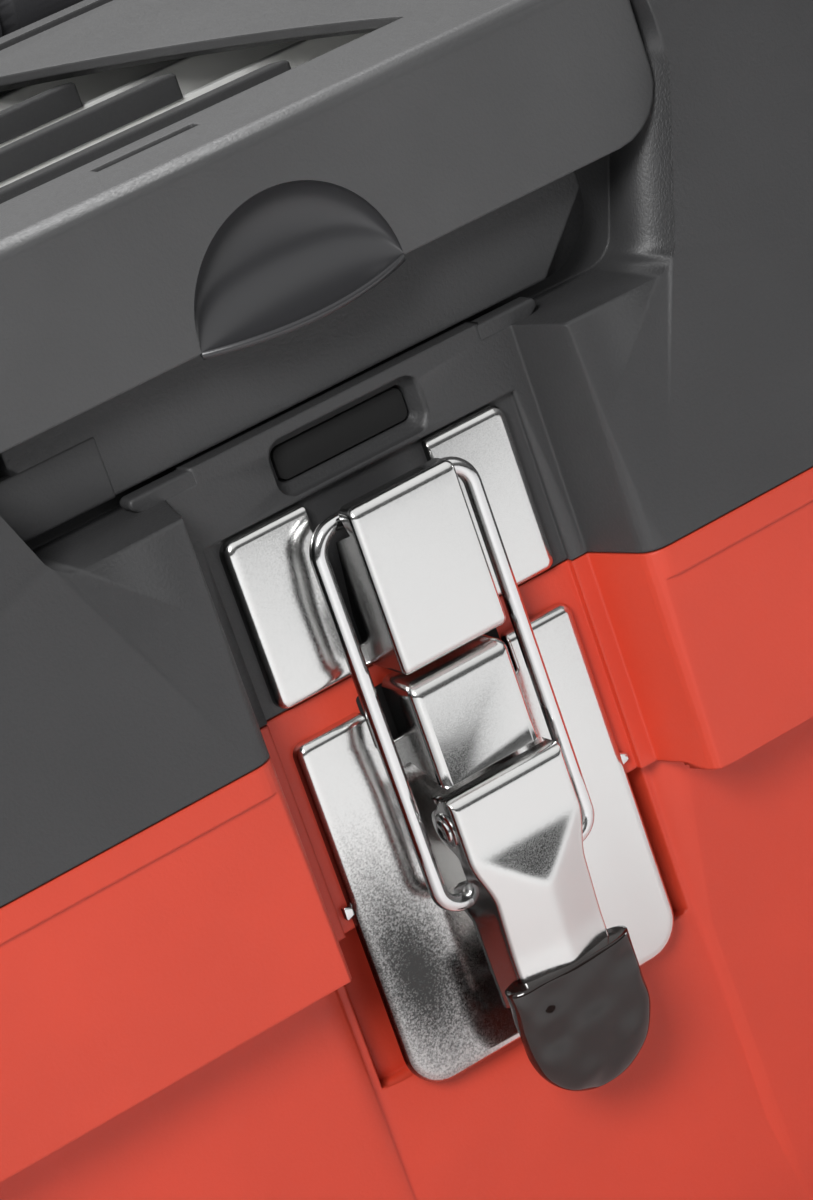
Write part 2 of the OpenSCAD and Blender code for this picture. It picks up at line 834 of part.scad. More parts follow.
module carry_handle() {
    color([0.2, 0.2, 0.21])
    difference() {
        union() {
            both_ends() along_x(handle_half - handle_arm_t, handle_half) translate(handle_axis) {
                circle(9);
                polygon([[0, -9], [handle_reach, -grip_r], [handle_reach, grip_r], [0, 9]]);
                translate([handle_reach, 0]) circle(grip_r);
            }
            rod(handle_axis + [handle_reach, 0], -handle_half, handle_half, grip_r - 1);
            for (i = [-2:2])
                rod(handle_axis + [handle_reach, 0], i * 30 - 13, i * 30 + 13, grip_r);
        }
        both_ends() rod(handle_axis, handle_half - 9, handle_half + over, handle_pin_r + fit);
    }
}

module handle_pins() {
    color([0.72, 0.73, 0.75])
    both_ends() rod(handle_axis, handle_half - 8.6, bay_half + 2, handle_pin_r);
}

// ---- Latch ----

function plate_outline(h, inset, r0) =
    slab(plate_w / 2 - inset, inset, h - inset, max(r0 - inset, 0.5), max(2.4 - inset, 0.5));

// The solid inside a plate's skin, t in from its outside
module pan_solid(z0, h, r0, t) {
    bend = max(pan_r - t, 0.3);
    hull() for (a = [0:30:90])
        along_y(latch_y - plate_face + t + bend * (1 - sin(a)), latch_y + (t > 0 ? over : 0))
            translate([0, z0]) polygon(plate_outline(h, t + bend * (1 - cos(a)), r0));
}

// A pressed plate: a shallow pan whose edges turn back to the seat
module pressed_plate(z0, h, r0) {
    difference() {
        pan_solid(z0, h, r0, 0);
        pan_solid(z0, h, r0, sheet);
    }
}

// A tab that passes through the moulding and is bent over behind it
module bent_tab(x, z, depth) {
    start = plate_face - sheet / 2;
    translate([x - tab_w / 2, latch_y - start, z]) cube([tab_w, start + depth + sheet + 0.2, sheet]);
    translate([x - tab_w / 2, latch_y + depth + 0.2, z - 4]) cube([tab_w, sheet, 4 + sheet]);
}

// Hook profile: out from the plate, up the panel and back over its rolled top
function hook_profile(y0, yf, ye, z0, z1, rb, rt) = concat(
    [[y0, z0]], arc(yf + rb, z0 + rb, rb, 270, 180), arc(yf + rt, z1 - rt, rt, 180, 90),
    [[ye, z1], [ye, z1 - sheet]], arc(yf + rt, z1 - rt, rt - sheet, 90, 180),
    arc(yf + rb, z0 + rb, rb - sheet, 180, 270), [[y0, z0 + sheet]]);

// The hook is a box pressed out of the plate: a panel, two cheeks and a floor
module hook_box() {
    root_y = latch_y - plate_face + sheet / 2;
    cheek_y = latch_y - 4.8;
    intersection() {
        translate([0, 0, hook_z0 - over]) linear_extrude(hook_z1 - hook_z0 + 2 * over)
            polygon(slab(hook_w / 2, hook_y, root_y + over, 1.6, 0.2));
        union() {
            along_x(-hook_w / 2, hook_w / 2)
                polygon(hook_profile(root_y, hook_y, hook_y + 1.9, hook_z0, hook_z1, 2.4, 1.5));
            both_ends() along_x(hook_w / 2 - sheet, hook_w / 2)
                polygon(concat([[root_y, hook_z0]], arc(hook_y + 2.4, hook_z0 + 2.4, 2.4, 270, 180),
                    [[hook_y, shelf_z]], arc(cheek_y - 2, shelf_z - 2, 2, 90, 10),
                    [[root_y, hook_z0 + 9]]));
        }
    }
}

module keeper_plate() {
    color([0.8, 0.81, 0.83]) {
        difference() {
            pressed_plate(keeper_z0, keeper_h, 2.4);
            along_y(latch_y - 5, latch_y + 5)
                translate([0, keeper_z0 + 4]) polygon(slab(hook_w / 2 + 1.3, 0, keeper_h, 1, 1));
        }
        hook_box();
        both_ends() {
            bent_tab(keeper_tab_x, keeper_z0 + 6, wall);
            bent_tab(keeper_tab_x, keeper_z0 + 20, wall);
        }
    }
}

// Side view of the guard: up from the plate, over a rolled top and down its front
module guard_profile() {
    root = latch_y - plate_face + sheet;
    roll = 2.8;
    polygon(concat([[root - sheet, plate_z1 - 7], [root - sheet, guard_z1 - roll]],
        arc(root - roll, guard_z1 - roll, roll - sheet, 0, 90),
        arc(bracket_y + roll, guard_z1 - roll, roll - sheet, 90, 180),
        [[bracket_y + sheet, guard_z0], [bracket_y, guard_z0]],
        arc(bracket_y + roll, guard_z1 - roll, roll, 180, 90),
        arc(root - roll, guard_z1 - roll, roll, 90, 0), [[root, plate_z1 - 7]]));
}

module latch_plate() {
    root_y = latch_y - plate_face + sheet / 2;
    color([0.8, 0.81, 0.83]) {
        difference() {
            pressed_plate(plate_z0, plate_h, 7);
            both_ends() translate([bracket_x + 0.4, latch_y - 5, plate_z1 - 6])
                cube([press_slot, 10, 8]);
        }
        along_x(-bracket_x, bracket_x) guard_profile();
        // Side webs of the guard
        both_ends() along_x(bracket_x - sheet, bracket_x)
            polygon([[root_y, guard_z1 - 4], [root_y - 2, guard_z1 - 1.6],
                [bracket_y + 2, guard_z1 - 1.6], [bracket_y + sheet / 2, guard_z1 - 4],
                [bracket_y + sheet / 2, guard_z0], [root_y, guard_z0]]);
        // Ears that carry the rivet
        difference() {
            both_ends() along_x(bracket_x - sheet, bracket_x) {
                translate([pivot_y, pivot_z]) circle(ear_r);
                polygon([[pivot_y - 2.2, pivot_z - 2], [pivot_y + 2, pivot_z - 2.2],
                    [root_y, pivot_z - 2.6], [root_y, pivot_z - 14]]);
            }
            rod([pivot_y, pivot_z], -leg_x, leg_x, pivot_r + fit);
        }
        both_ends() bent_tab(tab_x, plate_z0 + 20.2, pocket_depth + wall);
    }
}

module latch_pivot_rivet() {
    color([0.74, 0.75, 0.77]) {
        rod([pivot_y, pivot_z], -lever_w / 2 - 0.2, lever_w / 2 + 0.2, pivot_r);
        both_ends() rod([pivot_y, pivot_z], lever_w / 2 + 0.05, lever_w / 2 + 0.55, 2.6);
    }
}

// Front outline of the lever in [x, z]
function lever_outline(grow) = concat(
    arc(0, tip_z + tip_r, tip_r + grow, 180 + tip_cut, 360 - tip_cut, 8),
    [[lever_w / 2 + grow, dip_z + 4], [lever_w / 2 + grow, lever_z1 + grow],
        [-lever_w / 2 - grow, lever_z1 + grow], [-lever_w / 2 - grow, dip_z + 4]]);

// Bowed section of the lever's lower half, drawn in plan
module bow(grow) {
    intersection() {
        translate([0, bow_y]) scale([1, (bow_depth + grow) / (lever_w / 2 + grow)])
            circle(lever_w / 2 + grow, $fn = 40);
        translate([-far / 2, bow_y - far]) square([far, far]);
    }
}

module bowed_tip(grow, z1) {
    intersection() {
        translate([0, 0, tip_z - 5]) linear_extrude(z1 - tip_z + 5) bow(grow);
        along_y(lever_face - far, lever_face + far) polygon(lever_outline(grow));
    }
}

module latch_lever() {
    color([0.8, 0.81, 0.83])
    difference() {
        union() {
            along_x(-lever_w / 2, lever_w / 2)
                polygon([[lever_face, lever_z1 - 1.5], [lever_face + 1.5, lever_z1],
                    [lever_face + 3, lever_z1], [lever_face + 3, lever_z1 - lever_t],
                    [lever_face + lever_t, lever_z1 - 3], [lever_face + lever_t, cheek_z0],
                    [lever_face, cheek_z0]]);
            // Cheeks, wider round the rivet and round the wire's holes
            both_ends() along_x(cheek_in, lever_w / 2)
                polygon(concat([[lever_face + 0.5, lever_z1 - 1], [pivot_y + 1, lever_z1 - 1]],
                    arc(pivot_y, pivot_z, 3.9, 60, -40),
                    [[pivot_y + 1.6, wire_z + 6]], arc(wire_y, wire_z, 2.6, 60, -100),
                    [[lever_face + 3, cheek_z0 - 6], [lever_face + 0.5, cheek_z0 - 6]]));
            difference() {
                bowed_tip(0, cheek_z0);
                bowed_tip(-lever_t, cheek_z0 + over);
            }
        }
        rod([pivot_y, pivot_z], -leg_x, leg_x, pivot_r + fit);
        rod([wire_y, wire_z], -leg_x, leg_x, wire_r + fit);
    }
}

module lever_grip() {
    color([0.16, 0.13, 0.13])
    difference() {
        bowed_tip(dip_t, dip_z);
        bowed_tip(0.02, dip_z + over);
    }
}

// A quarter bend of the wire round [x, z], turned about Y by a
module wire_turn(x, z, a) {
    translate([x, wire_y, z]) rotate([90, a, 0])
        rotate_extrude(angle = 90) translate([wire_bend, 0]) circle(wire_r, $fn = 24);
}

module latch_wire_loop() {
    color([0.85, 0.86, 0.88]) {
        both_ends() {
            translate([leg_x, wire_y, wire_z + wire_bend])
                cylinder(bar_z - wire_z - 2 * wire_bend, r = wire_r, $fn = 24);
            wire_turn(leg_x - wire_bend, bar_z - wire_bend, 0);
            wire_turn(leg_x - wire_bend, wire_z + wire_bend, 90);
            rod([wire_y, wire_z], cheek_in - 1, leg_x - wire_bend, wire_r, $fn = 24);
        }
        rod([wire_y, bar_z], -leg_x + wire_bend, leg_x - wire_bend, wire_r, $fn = 24);
    }
}

base_shell();
lid_shell();
hinge_rod();
rear_arm_left();
rear_arm_right();
front_arm_left();
front_arm_right();
base_arm_pins();
lid_arm_pins();
lower_tray();
lower_tray_pins();
lower_tray_dividers();
upper_tray();
upper_tray_pins();
upper_tray_dividers();
organiser_tray();
organiser_dividers();
organiser_cover();
cover_window();
cover_hinge_pin();
carry_handle();
handle_pins();
keeper_plate();
latch_plate();
latch_pivot_rivet();
latch_lever();
lever_grip();
latch_wire_loop();
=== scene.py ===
# %% [markdown]
# # A cantilever tool box, dressed for its portrait
#
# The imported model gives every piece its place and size. This lesson adds what a
# camera wants: grain on the mouldings, plating on the steel, gloss on the dipped
# vinyl, and rounded forms where the bare solids are too crisp. All sizes are in
# metres, and the box faces -Y with its latch in the middle of the front.

# %% The frame
import math

import bmesh
import bpy
import numpy as np
from mathutils import Matrix, Vector


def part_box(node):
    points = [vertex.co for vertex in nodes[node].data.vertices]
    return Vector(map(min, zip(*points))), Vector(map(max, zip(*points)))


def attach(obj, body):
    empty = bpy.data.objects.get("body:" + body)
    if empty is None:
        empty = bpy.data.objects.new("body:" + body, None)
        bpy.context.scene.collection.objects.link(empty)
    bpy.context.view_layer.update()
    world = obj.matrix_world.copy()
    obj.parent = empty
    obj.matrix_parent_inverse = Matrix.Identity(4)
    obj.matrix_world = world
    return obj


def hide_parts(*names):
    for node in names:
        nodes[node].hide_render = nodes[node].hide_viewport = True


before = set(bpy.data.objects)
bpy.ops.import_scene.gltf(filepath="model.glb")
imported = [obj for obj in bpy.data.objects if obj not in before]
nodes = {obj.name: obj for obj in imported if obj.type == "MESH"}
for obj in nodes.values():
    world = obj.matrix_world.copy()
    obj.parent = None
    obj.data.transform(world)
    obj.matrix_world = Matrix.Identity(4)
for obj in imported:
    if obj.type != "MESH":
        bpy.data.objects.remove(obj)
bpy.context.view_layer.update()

# %% [markdown]
# ## Where the camera stands
#
# The photograph is a close-up from the left and a little above, rolled to the
# left. Its long lens and its place were found from the corners of the two latch
# plates, which are 52.6 mm wide. The image is 813 by 1200, so the sensor is
# fitted to the long, upright side.

# %% Camera
scene = bpy.context.scene
seat_y = -0.105  # the plane on which both latch plates sit
part_z = 0.128   # the height at which base and lid part


def camera_axes(azimuth, elevation, roll):
    """Right, up and back of a camera that looks along +Y at azimuth 0.

    The level axes are turned by azimuth about Z, tipped by elevation, and then
    turned in the picture by roll, all in degrees."""
    a, e, r = np.radians([azimuth, elevation, roll])
    level = np.array([math.cos(a), math.sin(a), 0])
    up = np.array([-math.sin(a) * math.sin(e), math.cos(a) * math.sin(e), math.cos(e)])
    back = np.array([math.sin(a) * math.cos(e), -math.cos(a) * math.cos(e), math.sin(e)])
    return (math.cos(r) * level - math.sin(r) * up,
            math.sin(r) * level + math.cos(r) * up, back)


AZIMUTH, ELEVATION, ROLL = -25, 19, 19.4
right, up, back = camera_axes(AZIMUTH, ELEVATION, ROLL)
distance = 0.646
focal_px = 4200
target_px = (418, 640)  # where the middle of the parting line lands in the picture
image_px = (813, 1200)
across = (target_px[0] - image_px[0] / 2) * distance / focal_px
above = (image_px[1] / 2 - target_px[1]) * distance / focal_px
eye = np.array([0, seat_y, part_z]) + distance * back - across * right - above * up

camera_data = bpy.data.cameras.new("camera")
camera_data.sensor_width = 36
camera_data.lens = focal_px * camera_data.sensor_width / image_px[1]
camera_data.clip_start, camera_data.clip_end = 0.02, 20
camera = bpy.data.objects.new("camera", camera_data)
camera.matrix_world = Matrix(
    [[*row, place] for row, place in zip(np.array([right, up, back]).T, eye)] + [[0, 0, 0, 1]])
scene.collection.objects.link(camera)
scene.camera = camera
scene.view_settings.view_transform = "Standard"
print("camera at", eye.round(3), "lens", camera_data.lens)

# %% [markdown]
# ## Light
#
# A product table: one large soft lamp above and behind the left shoulder, a
# weaker one from the right, and a pale room. Polished steel only looks like
# steel when it has something to mirror, so mirrors see a room that is dark low
# down and light above.

# %% Lamps, room and floor
def area_lamp(name, place, aim, size, watts):
    """A square soft lamp at place that faces aim."""
    data = bpy.data.lights.new(name, "AREA")
    data.shape = "SQUARE"
    data.size = size
    data.energy = watts
    lamp = bpy.data.objects.new(name, data)
    lamp.location = place
    lamp.rotation_mode = "QUATERNION"
    lamp.rotation_quaternion = (Vector(aim) - Vector(place)).to_track_quat("-Z", "Y")
    scene.collection.objects.link(lamp)
    return lamp


middle = (0, 0, 0.1)
area_lamp("key", (-0.75, -1.0, 0.95), middle, 0.45, 17.5)
area_lamp("side", (1.2, -0.1, 0.22), middle, 0.35, 2.4)
area_lamp("top", (0.1, 0.6, 1.4), middle, 0.8, 15)


def ray_mix(tree, shaded, shown):
    """Shows the plain colour to camera, mirror and glass rays, and shades the rest."""
    path = tree.nodes.new("ShaderNodeLightPath")
    seen = path.outputs["Is Camera Ray"]
    for other in ("Is Glossy Ray", "Is Transmission Ray"):
        either = tree.nodes.new("ShaderNodeMath")
        either.operation = "MAXIMUM"
        tree.links.new(seen, either.inputs[0])
        tree.links.new(path.outputs[other], either.inputs[1])
        seen = either.outputs[0]
    mix = tree.nodes.new("ShaderNodeMixShader")
    tree.links.new(seen, mix.inputs[0])
    tree.links.new(shaded.outputs[0], mix.inputs[1])
    tree.links.new(shown.outputs[0], mix.inputs[2])
    return mix


world = bpy.data.worlds.new("room")
scene.world = world
world.use_nodes = True
tree = world.node_tree
room = tree.nodes["Background"]
room.inputs["Color"].default_value = (0.95, 0.96, 1, 1)
room.inputs["Strength"].default_value = 0.22
shown = tree.nodes.new("ShaderNodeBackground")
shown.inputs["Color"].default_value = (0.96, 0.96, 0.96, 1)
mirrored = tree.nodes.new("ShaderNodeBackground")
direction = tree.nodes.new("ShaderNodeTexCoord")
height = tree.nodes.new("ShaderNodeSeparateXYZ")
tree.links.new(direction.outputs["Generated"], height.inputs[0])
walls = tree.nodes.new("ShaderNodeValToRGB")
stops = walls.color_ramp.elements
stops[0].position, stops[0].color = 0.0, (0.06, 0.06, 0.06, 1)
stops[1].position, stops[1].color = 0.75, (0.96, 0.96, 0.96, 1)
for position, level in ((0.06, 0.10), (0.28, 0.14), (0.42, 0.8)):
    stops.new(position).color = (level, level, level, 1)
tree.links.new(height.outputs["Z"], walls.inputs["Fac"])
tree.links.new(walls.outputs["Color"], mirrored.inputs["Color"])
path = tree.nodes.new("ShaderNodeLightPath")
glossy_room = tree.nodes.new("ShaderNodeMixShader")
tree.links.new(path.outputs["Is Glossy Ray"], glossy_room.inputs[0])
tree.links.new(shown.outputs[0], glossy_room.inputs[1])
tree.links.new(mirrored.outputs[0], glossy_room.inputs[2])
tree.links.new(ray_mix(tree, room, glossy_room).outputs[0],
               tree.nodes["World Output"].inputs["Surface"])

bpy.ops.mesh.primitive_plane_add(size=2.4)
floor = bpy.context.object
floor.name = "floor"
paper = bpy.data.materials.new("paper")
paper.use_nodes = True
paper_shader = paper.node_tree.nodes["Principled BSDF"]
paper_shader.inputs["Base Color"].default_value = (0.86, 0.86, 0.86, 1)
paper_shader.inputs["Roughness"].default_value = 0.9
floor.data.materials.append(paper)

# %% [markdown]
# ## Moulded plastic
#
# The mouldings have the fine grain of a spark-eroded tool: two octaves of small
# noise, far under a millimetre, lift the surface a few microns. The same noise
# varies the gloss a little. A Bevel node rounds the crisp edges of the solids in
# the light, as a moulding's edges never are sharp.

# %% Plastic
def new_material(name, colour, roughness, metallic=0.0):
    """A material with its Principled shader set; returns it, its tree and its shader."""
    material = bpy.data.materials.new(name)
    material.use_nodes = True
    shader = material.node_tree.nodes["Principled BSDF"]
    shader.inputs["Base Color"].default_value = (*colour, 1)
    shader.inputs["Roughness"].default_value = roughness
    shader.inputs["Metallic"].default_value = metallic
    return material, material.node_tree, shader


def noise(tree, scale, detail=2.0, stretch=(1, 1, 1)):
    """Noise on the object's own coordinates, scale features a metre, drawn out along an axis."""
    place = tree.nodes.new("ShaderNodeTexCoord")
    mapping = tree.nodes.new("ShaderNodeMapping")
    mapping.inputs["Scale"].default_value = stretch
    tree.links.new(place.outputs["Object"], mapping.inputs["Vector"])
    texture = tree.nodes.new("ShaderNodeTexNoise")
    texture.inputs["Scale"].default_value = scale
    texture.inputs["Detail"].default_value = detail
    tree.links.new(mapping.outputs["Vector"], texture.inputs["Vector"])
    return texture.outputs["Fac"]


def between(tree, value, low, high):
    """Spreads a value of 0 to 1 over low to high."""
    spread = tree.nodes.new("ShaderNodeMapRange")
    spread.inputs["From Min"].default_value = 0.3
    spread.inputs["From Max"].default_value = 0.7
    spread.inputs["To Min"].default_value = low
    spread.inputs["To Max"].default_value = high
    tree.links.new(value, spread.inputs["Value"])
    return spread.outputs["Result"]


def tint(tree, value, dark, light):
    """A colour that goes from dark to light with a value of 0 to 1."""
    ramp = tree.nodes.new("ShaderNodeValToRGB")
    ramp.color_ramp.elements[0].position = 0.3
    ramp.color_ramp.elements[1].position = 0.7
    ramp.color_ramp.elements[0].color = (*dark, 1)
    ramp.color_ramp.elements[1].color = (*light, 1)
    tree.links.new(value, ramp.inputs["Fac"])
    return ramp.outputs["Color"]


def bumps(tree, shader, layers, round_edge=0.0):
    """Stacks bumps on the shader. Each layer is (height value, strength, depth in metres)."""
    normal = None
    if round_edge:
        bevel = tree.nodes.new("ShaderNodeBevel")
        bevel.samples = 6
        bevel.inputs["Radius"].default_value = round_edge
        normal = bevel.outputs["Normal"]
    for height, strength, depth in layers:
        bump = tree.nodes.new("ShaderNodeBump")
        bump.inputs["Strength"].default_value = strength
        bump.inputs["Distance"].default_value = depth
        tree.links.new(height, bump.inputs["Height"])
        if normal is not None:
            tree.links.new(normal, bump.inputs["Normal"])
        normal = bump.outputs["Normal"]
    tree.links.new(normal, shader.inputs["Normal"])


def moulded(name, colour, roughness, spread=0.12, grain=0.25, round_edge=0.0007):
    """Moulded plastic: a grained, slightly uneven surface."""
    material, tree, shader = new_material(name, colour, roughness)
    fine = noise(tree, 1900, 2)
    broad = noise(tree, 35, 3)
    dark = tuple(c * (1 - spread) for c in colour)
    light = tuple(min(1, c * (1 + spread)) for c in colour)
    tree.links.new(tint(tree, broad, dark, light), shader.inputs["Base Color"])
    tree.links.new(between(tree, fine, roughness - 0.05, roughness + 0.08),
                   shader.inputs["Roughness"])
    bumps(tree, shader, [(fine, grain, 0.00012), (broad, 0.05, 0.0006)], round_edge)
    return material


red_plastic = moulded("red_plastic", (0.59, 0.050, 0.022), 0.45, 0.05, 0.2)
grey_plastic = moulded("grey_plastic", (0.040, 0.040, 0.041), 0.46, 0.08, 0.55)
cover_plastic = moulded("cover_plastic", (0.062, 0.062, 0.063), 0.42, 0.08, 0.5)
tray_plastic = moulded("tray_plastic", (0.055, 0.055, 0.058), 0.45)
divider_plastic = moulded("divider_plastic", (0.022, 0.022, 0.023), 0.7, 0.1, 0.1, 0.0)
handle_plastic = moulded("handle_plastic", (0.04, 0.04, 0.043), 0.5)
white_plastic = moulded("white_plastic", (0.8, 0.8, 0.78), 0.35, 0.02, 0.08)

# %% [markdown]
# ## Plated steel
#
# Zinc plating is a soft mirror. A broad, shallow noise makes the mirror wander
# as a pressed sheet does, and a very fine one breaks it into the sparkle that
# shows where the plate turns from light to dark.

# %% Steel
def plated(name, colour, roughness, wave=0.3, sparkle=0.12, round_edge=0.0004):
    """Plated steel: a satin mirror with slow waves and a fine sparkle.

    Faces turned to the left get painted shade: their colour is darker, as on the side away from the
    light."""
    material, tree, shader = new_material(name, colour, roughness, 1.0)
    # Painted shade: the colour falls to a fifth on faces whose normal points to the left (-X).
    geometry = tree.nodes.new("ShaderNodeNewGeometry")
    parts = tree.nodes.new("ShaderNodeSeparateXYZ")
    tree.links.new(geometry.outputs["Normal"], parts.inputs[0])
    turned = tree.nodes.new("ShaderNodeValToRGB")
    turned.color_ramp.elements[0].position = 0.04
    turned.color_ramp.elements[0].color = (*(c * 0.2 for c in colour), 1)
    turned.color_ramp.elements[1].position = 0.3
    turned.color_ramp.elements[1].color = (*colour, 1)
    half = tree.nodes.new("ShaderNodeMath")
    half.operation = "MULTIPLY_ADD"
    half.inputs[1].default_value = 0.5
    half.inputs[2].default_value = 0.5
    tree.links.new(parts.outputs["X"], half.inputs[0])
    tree.links.new(half.outputs[0], turned.inputs["Fac"])
    tree.links.new(turned.outputs["Color"], shader.inputs["Base Color"])
    fine = noise(tree, 4200, 2)
    slow = noise(tree, 90, 2)
    tree.links.new(between(tree, fine, roughness - 0.05, roughness + 0.1),
                   shader.inputs["Roughness"])
    bumps(tree, shader, [(slow, wave, 0.0006), (fine, sparkle, 0.00005)], round_edge)
    return material


def with_painted_shade(name, middle_mm, reach_mm, darkest):
    """Latch steel with painted shade round a point: a dark, grainy cloud that stands for the lever's
    shadow and a dark reflection on the plate.
    """
    material = latch_steel.copy()
    material.name = name
    tree = material.node_tree
    shader = tree.nodes["Principled BSDF"]
    place = tree.nodes.new("ShaderNodeTexCoord")
    cloud = tree.nodes.new("ShaderNodeMapping")
    cloud.vector_type = "TEXTURE"
    cloud.inputs["Location"].default_value = [c / 1000 for c in middle_mm]
    cloud.inputs["Scale"].default_value = [c / 1000 for c in reach_mm]
    cloud.inputs["Rotation"].default_value = (0, math.radians(-8), 0)
    tree.links.new(place.outputs["Object"], cloud.inputs["Vector"])
    length = tree.nodes.new("ShaderNodeVectorMath")
    length.operation = "LENGTH"
    tree.links.new(cloud.outputs["Vector"], length.inputs[0])
    speckled = tree.nodes.new("ShaderNodeMath")
    speckled.operation = "MULTIPLY_ADD"
    tree.links.new(between(tree, noise(tree, 3400, 1), -0.5, 0.5), speckled.inputs[0])
    speckled.inputs[1].default_value = 0.3
    tree.links.new(length.outputs["Value"], speckled.inputs[2])
    shade = tree.nodes.new("ShaderNodeMapRange")
    shade.interpolation_type = "SMOOTHSTEP"
    shade.inputs["From Min"].default_value = 0.1
    shade.inputs["From Max"].default_value = 1.0
    shade.inputs["To Min"].default_value = darkest
    shade.inputs["To Max"].default_value = 1.0
    tree.links.new(speckled.outputs[0], shade.inputs["Value"])
    darker = tree.nodes.new("ShaderNodeVectorMath")
    darker.operation = "SCALE"
    old = shader.inputs["Base Color"].links[0].from_socket
    tree.links.new(old, darker.inputs[0])
    tree.links.new(shade.outputs["Result"], darker.inputs["Scale"])
    tree.links.new(darker.outputs["Vector"], shader.inputs["Base Color"])
    return material


latch_steel = plated("latch_steel", (0.74, 0.74, 0.73), 0.15, 0.1, 0.07, 0.0)
# The lower plate gets painted shade: a dark cloud low on its left for the lever's shadow and a dark
# reflection.
plate_steel_painted_shade = with_painted_shade("plate_steel_painted_shade", (-20, -107, 80), (14, 40, 31), 0.08)
wire_steel = plated("wire_steel", (0.76, 0.76, 0.76), 0.12, 0.06, 0.04, 0.0)
arm_steel = plated("arm_steel", (0.72, 0.72, 0.71), 0.28)

# %% [markdown]
# ## Dipped vinyl and the clear pane
#
# The tip of the lever was dipped in liquid vinyl, which set with a wet gloss and
# a slow ripple. The pane is clear styrene.

# %% Vinyl and pane
dipped_vinyl, vinyl_tree, vinyl_shader = new_material("dipped_vinyl", (0.012, 0.007, 0.006), 0.05)
vinyl_shader.inputs["IOR"].default_value = 1.55
bumps(vinyl_tree, vinyl_shader, [(noise(vinyl_tree, 130, 1), 0.8, 0.0016)])

clear_plastic, pane_tree, pane_shader = new_material("clear_plastic", (0.0, 0.0, 0.0), 0.04)
pane_shader.inputs["Alpha"].default_value = 0.07
bumps(pane_tree, pane_shader, [(noise(pane_tree, 60, 1), 0.05, 0.0003)])

# %% Every CAD node gets its finish
FINISHES = {
    "red_plastic": (red_plastic, ["base_shell"]),
    "grey_plastic": (grey_plastic, ["lid_shell"]),
    "cover_plastic": (cover_plastic, ["organiser_cover"]),
    "tray_plastic": (tray_plastic, ["lower_tray", "upper_tray"]),
    "divider_plastic": (divider_plastic,
        ["lower_tray_dividers", "upper_tray_dividers", "organiser_dividers"]),
    "handle_plastic": (handle_plastic, ["carry_handle"]),
    "white_plastic": (white_plastic, ["organiser_tray"]),
    "clear_plastic": (clear_plastic, ["cover_window"]),
    "latch_steel": (latch_steel, ["keeper_plate", "latch_plate", "latch_lever"]),
    "arm_steel": (arm_steel,
        ["rear_arm_left", "rear_arm_right", "front_arm_left", "front_arm_right"]),
    "plated_steel": (wire_steel, ["hinge_rod", "base_arm_pins", "lid_arm_pins", "lower_tray_pins",
        "upper_tray_pins", "cover_hinge_pin", "handle_pins", "latch_pivot_rivet", "latch_wire_loop"]),
    "dipped_vinyl": (dipped_vinyl, ["lever_grip"]),
}
for finish, names in FINISHES.values():
    for name in names:
        mesh = nodes[name].data
        mesh.materials.clear()
        mesh.materials.append(finish)

# %% [markdown]
# ## Pressed steel
#
# Each pressed piece starts as an outline in the plane of the plates, with its
# own radius at every corner and its own bend along every edge. Rings of the
# outline, each set in a little more and a little further forward, follow the
# bend from the rear edge to the flat face. The inner skin follows one sheet
# thickness behind. Lengths here are millimetres: x to the right, v out of the
# seat (negative is forward) and w up from the line where base and lid part.

# %% The pressing
SHEET = 0.9


def in_frame(x, v, w):
    """Latch coordinates in millimetres to world metres."""
    x, v, w = np.broadcast_arrays(np.asarray(x, float), v, w)
    return np.stack([x, seat_y * 1000 + v, part_z * 1000 + w], axis=-1).reshape(-1, 3) / 1000


def grid_faces(rows, columns):
    """The quads of a grid whose points are listed row by row."""
    return [(r * columns + c, r * columns + c + 1, (r + 1) * columns + c + 1, (r + 1) * columns + c)
            for r in range(rows - 1) for c in range(columns - 1)]


def hand(side):
    """The name of the side at -1 or 1."""
    return "left" if side < 0 else "right"


def make_piece(name, points, faces, material, body, node=None, sharp=55):
    """A closed mesh piece that rides on a body and may stand for CAD nodes."""
    mesh = bpy.data.meshes.new(name)
    mesh.from_pydata(points.tolist(), [], faces)
    solid = bmesh.new()
    solid.from_mesh(mesh)
    bmesh.ops.recalc_face_normals(solid, faces=solid.faces)
    solid.to_mesh(mesh)
    solid.free()
    mesh.shade_smooth()
    mesh.set_sharp_from_angle(angle=math.radians(sharp))
    mesh.materials.append(material)
    piece = bpy.data.objects.new(name, mesh)
    scene.collection.objects.link(piece)
    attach(piece, body)
    if node:
        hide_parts(node)
    return piece


def rim(corners, insets, steps=8):
    """The outline with edge i moved inwards by insets[i], and its corners rounded.

    corners are (x, w, radius, rear) anticlockwise seen from the front. Edge i runs
    from corner i to the next. The moved edges meet where n1.p = n1.c + d1 and
    n2.p = n2.c + d2. Returns the points, and for each the shares of the two edges."""
    points, shares = [], []
    count = len(corners)
    place = np.array([c[:2] for c in corners], float)
    along = np.roll(place, -1, axis=0) - place
    along /= np.linalg.norm(along, axis=1)[:, None]
    inward = np.stack([-along[:, 1], along[:, 0]], axis=1)
    for i in range(count):
        before, after = i - 1, i
        n1, n2 = inward[before], inward[after]
        turn = along[before][0] * along[after][1] - along[before][1] * along[after][0]
        if abs(turn) < 1e-6:
            points.append(place[i] + n1 * insets[after])
            shares.append((before % count, after, 0.5, i))
            continue
        meet = np.linalg.solve(np.array([n1, n2]),
                               [n1 @ place[i] + insets[before], n2 @ place[i] + insets[after]])
        inset = (insets[before] + insets[after]) / 2
        side = 1 if turn > 0 else -1
        radius = max(corners[i][2] - side * inset, 0.03)
        centre = meet + side * (n1 + n2) / (1 + n1 @ n2) * radius
        angle = math.atan2(turn, along[before] @ along[after])
        for k in range(steps + 1):
            f = k / steps
            c, s = math.cos(angle * f), math.sin(angle * f)
            turned = np.array([c * n1[0] - s * n1[1], s * n1[0] + c * n1[1]])
            points.append(centre - side * turned * radius)
            shares.append((before % count, after, f, i))
    return np.array(points), shares


